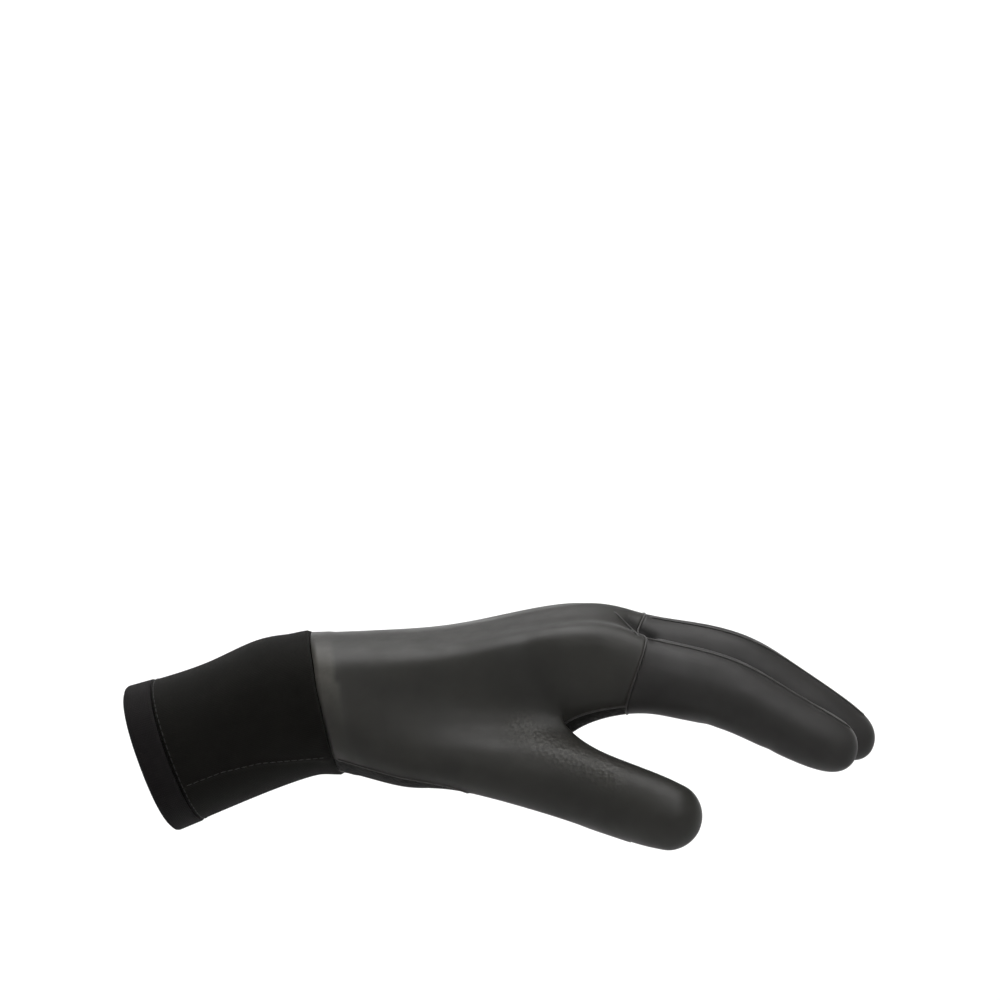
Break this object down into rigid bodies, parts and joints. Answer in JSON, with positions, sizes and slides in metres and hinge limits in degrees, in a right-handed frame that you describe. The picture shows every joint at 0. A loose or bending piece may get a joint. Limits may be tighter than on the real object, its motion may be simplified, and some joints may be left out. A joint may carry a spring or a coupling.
{
  "type": "diving glove",
  "caption": "Left-hand foam-rubber diving glove in its worn form: smooth hand with separate finger stalls and a cloth-faced sleeve with a hemmed mouth.",
  "frame": {"origin": "centre of the sleeve's mouth, where the arm goes in", "axes": "+X along the glove to the fingertips, +Y to the little finger's side, +Z out of the back of the hand"},
  "size_m": [0.2482, 0.1063, 0.0778],
  "materials": {
    "hem_cloth": "near-black knitted nylon face, turned and stitched",
    "cuff_cloth": "matt near-black knitted nylon on foam rubber",
    "smooth_rubber": "smooth-skin foam rubber with a satin sheen, dark grey",
    "grip_rubber": "textured foam rubber, matt black"
  },
  "bodies": {
    "root": {"hem_band": "hem_cloth", "cuff": "cuff_cloth", "back_panel": "smooth_rubber", "palm_panel": "grip_rubber", "index_stall": "smooth_rubber", "middle_stall": "smooth_rubber", "ring_stall": "smooth_rubber", "little_stall": "smooth_rubber"}
  },
  "joints": []
}
